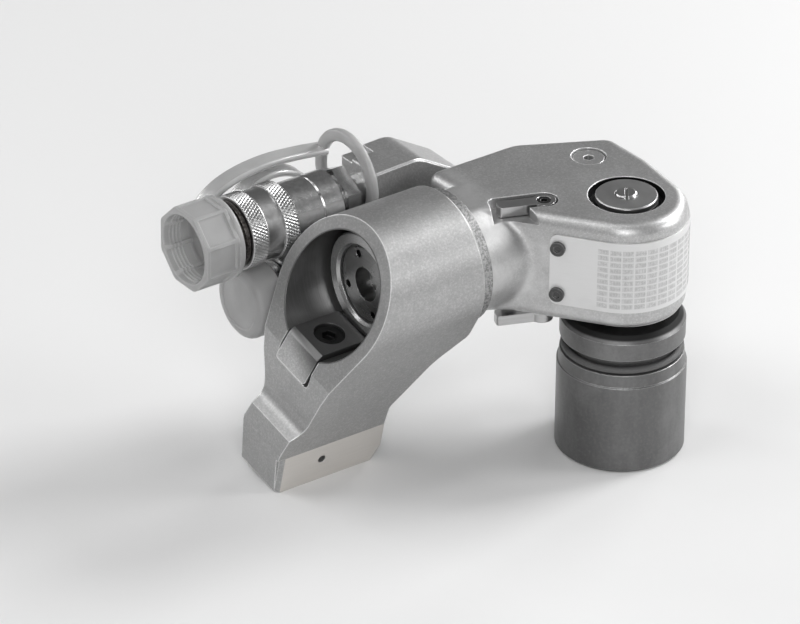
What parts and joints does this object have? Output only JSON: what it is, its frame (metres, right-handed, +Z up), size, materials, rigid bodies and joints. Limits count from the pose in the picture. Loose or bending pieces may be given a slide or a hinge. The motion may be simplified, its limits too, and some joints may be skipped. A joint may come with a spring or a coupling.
{
  "type": "hydraulic torque wrench",
  "caption": "Square-drive hydraulic torque wrench with reaction arm, swivel manifold with capped quick couplers and an impact socket.",
  "frame": {"origin": "on the drive axis at the lower mouth of the socket, which stands on the floor", "axes": "+Z up the drive axis, +X along the cylinder from the reaction arm towards the head, +Y from the near side towards the swivel manifold"},
  "size_m": [0.1683, 0.1224, 0.1155],
  "materials": {
    "satin_head": "bead-blasted satin grey metal",
    "black_steel": "black oxide",
    "machined_steel": "machined",
    "seal_rubber": "black seal",
    "bronze": "plain bearing bronze",
    "dark_steel": "dark gunmetal, impact grade",
    "label_silver": "thin printed plate",
    "bright_steel": "bright plated",
    "spring_steel": "drawn wire",
    "satin_arm": "bead-blasted satin grey metal",
    "block_grey": "anodised light grey",
    "cap_plastic": "translucent grey"
  },
  "bodies": {
    "head": {"head_housing": "satin_head", "bottom_cover": "satin_head", "cover_screws": "black_steel", "cylinder_barrel": "machined_steel", "cylinder_end_cap": "machined_steel", "end_cap_seal": "seal_rubber", "rod_gland": "bronze", "rod_seal": "seal_rubber", "drive_bushing_top": "dark_steel", "drive_bushing_bottom": "bronze", "data_plate": "label_silver", "plate_screws": "black_steel", "pin_plug": "satin_head", "swivel_post": "machined_steel", "swivel_seals": "seal_rubber", "swivel_clip": "black_steel"},
    "piston": {"piston": "machined_steel", "piston_seal": "seal_rubber", "piston_rod": "bright_steel", "rod_pin": "machined_steel"},
    "crank": {"crank_plate_upper": "machined_steel", "crank_plate_lower": "machined_steel", "pawl_pin": "machined_steel", "pawl_spring": "spring_steel"},
    "drive_pawl": {"drive_pawl": "dark_steel"},
    "drive": {"ratchet_wheel": "machined_steel", "square_drive": "machined_steel", "drive_retainer": "machined_steel", "button_spring": "spring_steel"},
    "retainer_button": {"retainer_button": "machined_steel"},
    "socket": {"impact_socket": "dark_steel", "socket_ring": "seal_rubber"},
    "release": {"release_lever_top": "machined_steel", "release_lever_bottom": "machined_steel", "release_shaft": "machined_steel", "holding_pawl": "dark_steel", "lever_screws": "black_steel", "lever_spring": "spring_steel"},
    "arm": {"reaction_arm": "satin_arm", "latch_screw": "black_steel", "latch_spring": "spring_steel"},
    "arm_latch": {"arm_latch": "satin_arm"},
    "manifold": {"swivel_manifold": "block_grey", "coupler_a_nipple": "bright_steel", "coupler_a_body": "bright_steel", "cap_strap_a": "cap_plastic", "coupler_b_nipple": "bright_steel", "coupler_b_body": "bright_steel", "cap_strap_b": "cap_plastic"},
    "coupler_a_collar": {"coupler_a_collar": "bright_steel"},
    "coupler_b_collar": {"coupler_b_collar": "bright_steel"},
    "dust_cap_a": {"dust_cap_a": "cap_plastic"},
    "dust_cap_b": {"dust_cap_b": "cap_plastic"}
  },
  "joints": [
    {"name": "piston_stroke", "type": "slide", "parent": "head", "child": "piston", "axis": [1, 0, 0], "range_m": [0, 0.01335]},
    {"name": "crank_swing", "type": "hinge", "parent": "head", "child": "crank", "pos_m": [0, 0, 0.0817], "axis": [0, 0, 1], "range_deg": [-24.02, 0]},
    {"name": "drive_turn", "type": "hinge", "parent": "head", "child": "drive", "pos_m": [0, 0, 0.0817], "axis": [0, 0, 1], "range_deg": [-24.02, 0]},
    {"name": "pawl_lift", "type": "hinge", "parent": "crank", "child": "drive_pawl", "pos_m": [0.00595, 0.02222, 0.0817], "axis": [0, 0, 1], "range_deg": [0, 8], "stiffness_Nm_per_rad": 0.05, "springref_deg": -17.19},
    {"name": "button_press", "type": "slide", "parent": "drive", "child": "retainer_button", "axis": [0, 0, -1], "range_m": [0, 0.0015], "stiffness_N_per_m": 900, "springref_m": -0.002, "deforming": ["button_spring"]},
    {"name": "socket_off", "type": "slide", "parent": "drive", "child": "socket", "axis": [0, 0, -1], "range_m": [0, 0.025]},
    {"name": "release_levers", "type": "hinge", "parent": "head", "child": "release", "pos_m": [-0.0265, 0.0145, 0.0817], "axis": [0, 0, 1], "range_deg": [0, 8], "stiffness_Nm_per_rad": 0.1, "springref_deg": -20.05},
    {"name": "arm_off", "type": "slide", "parent": "head", "child": "arm", "axis": [-1, 0, 0], "range_m": [0, 0.016]},
    {"name": "latch_press", "type": "slide", "parent": "arm", "child": "arm_latch", "axis": [0, 0.225, -0.9744], "range_m": [0, 0.0015], "stiffness_N_per_m": 1500, "springref_m": -0.002, "deforming": ["latch_spring"]},
    {"name": "manifold_swivel", "type": "hinge", "parent": "head", "child": "manifold", "pos_m": [-0.037, 0.0736, 0.08], "axis": [0, 1, 0], "range_deg": [-10, 180]},
    {"name": "collar_a_spin", "type": "hinge", "parent": "manifold", "child": "coupler_a_collar", "pos_m": [-0.106, 0.0736, 0.0928], "axis": [1, 0, 0], "continuous": true},
    {"name": "collar_b_spin", "type": "hinge", "parent": "manifold", "child": "coupler_b_collar", "pos_m": [-0.096, 0.0736, 0.0628], "axis": [1, 0, 0], "continuous": true},
    {"name": "cap_a_off", "type": "slide", "parent": "manifold", "child": "dust_cap_a", "axis": [-1, 0, 0], "range_m": [0, 0.016]},
    {"name": "cap_b_off", "type": "slide", "parent": "manifold", "child": "dust_cap_b", "axis": [-1, 0, 0], "range_m": [0, 0.0066]}
  ],
  "couplings": [
    {"joint": "crank_swing", "follows": "piston_stroke", "rad_per_m": -31.38},
    {"joint": "drive_turn", "follows": "piston_stroke", "rad_per_m": -31.38}
  ]
}
